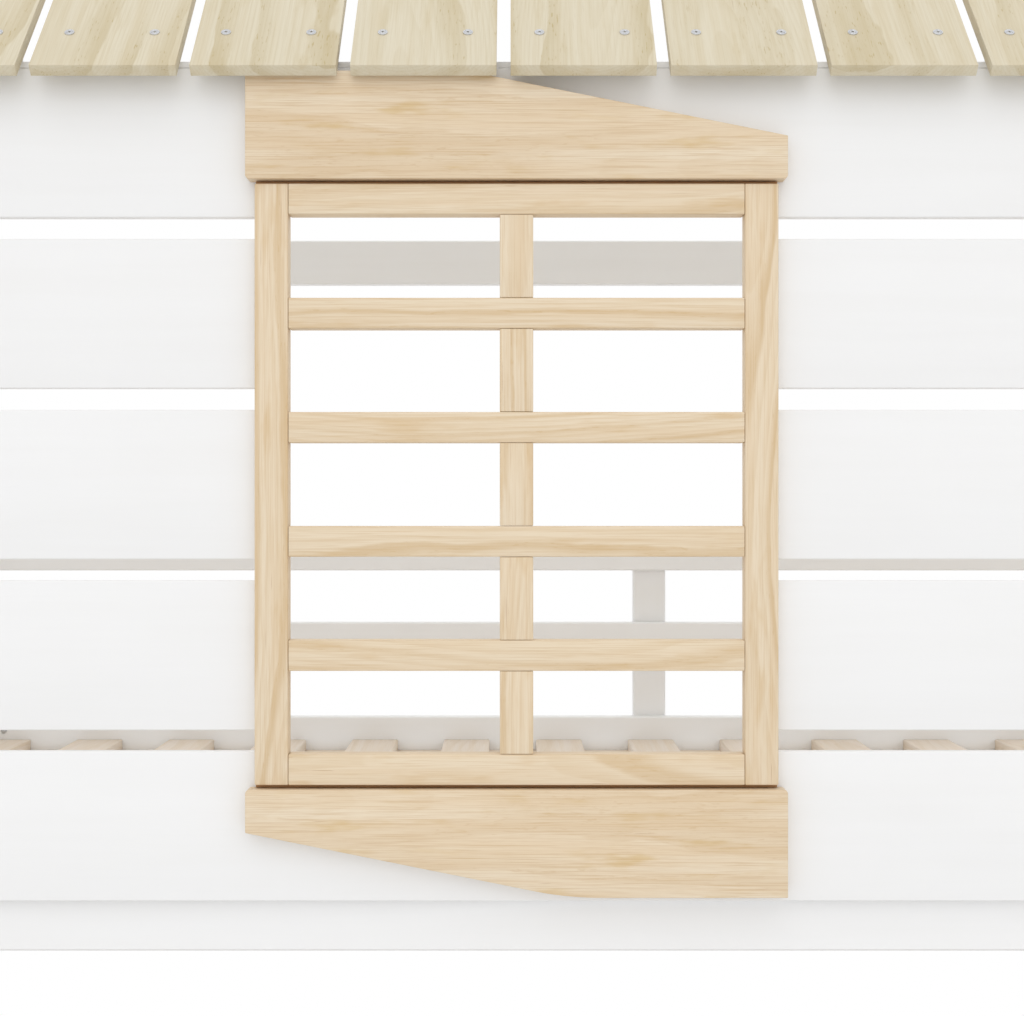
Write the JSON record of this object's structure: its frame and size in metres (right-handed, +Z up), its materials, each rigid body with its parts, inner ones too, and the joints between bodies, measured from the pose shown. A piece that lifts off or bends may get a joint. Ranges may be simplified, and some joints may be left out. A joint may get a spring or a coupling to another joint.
{
  "type": "house bunk bed",
  "caption": "Bunk bed shaped as a house: boarded front wall with a lattice window, slatted front roof slope, two slatted beds, guard rails and a ladder.",
  "frame": {"origin": "on the floor, below the middle of the bed's overall box", "axes": "+X to the right along the bed seen from the window wall, +Y from the window wall to the back, +Z up"},
  "size_m": [2.192, 1.1152, 2.326],
  "materials": {
    "white_paint": "white painted pine, satin",
    "warm_pine": "warm natural pine, matt oiled",
    "roof_pine": "pale natural pine, raw",
    "slat_pine": "natural pine, planed"
  },
  "bodies": {
    "root": {"lower_side_rail_front": "white_paint", "lower_side_rail_back": "white_paint", "lower_end_rail_left": "white_paint", "lower_end_rail_right": "white_paint", "upper_side_rail_front": "white_paint", "upper_side_rail_back": "white_paint", "upper_end_rail_left": "white_paint", "upper_end_rail_right": "white_paint", "guard_rail_back_low": "white_paint", "guard_rail_left_low": "white_paint", "guard_rail_right_low": "white_paint", "guard_rail_back_high": "white_paint", "guard_rail_left_high": "white_paint", "guard_rail_right_high": "white_paint", "guard_stay_back": "white_paint", "top_rail_back": "white_paint", "top_rail_left": "white_paint", "top_rail_right": "white_paint", "eave_plate": "white_paint", "entry_stile": "white_paint", "post_front_left": "white_paint", "post_front_right": "white_paint", "post_back_left": "white_paint", "post_back_right": "white_paint", "upper_slat_base": "slat_pine", "lower_slat_base": "slat_pine", "wall_board_1": "white_paint", "wall_board_2_left": "white_paint", "wall_board_2_right": "white_paint", "wall_board_3_left": "white_paint", "wall_board_3_right": "white_paint", "wall_board_4_left": "white_paint", "wall_board_4_right": "white_paint", "wall_board_5": "white_paint", "window_lattice": "warm_pine", "window_stile_left": "warm_pine", "window_stile_right": "warm_pine", "window_header": "warm_pine", "window_sill": "warm_pine", "ridge_beam": "white_paint", "roof_slat_01": "roof_pine", "roof_slat_02": "roof_pine", "roof_slat_03": "roof_pine", "roof_slat_04": "roof_pine", "roof_slat_05": "roof_pine", "roof_slat_06": "roof_pine", "roof_slat_07": "roof_pine", "roof_slat_08": "roof_pine", "roof_slat_09": "roof_pine", "roof_slat_10": "roof_pine", "roof_slat_11": "roof_pine", "roof_slat_12": "roof_pine", "roof_slat_13": "roof_pine", "roof_slat_14": "roof_pine", "roof_slat_15": "roof_pine", "rafter_front_left": "white_paint", "rafter_front_right": "white_paint", "rafter_back_left": "white_paint", "rafter_back_right": "white_paint", "ladder": "white_paint"}
  },
  "joints": []
}
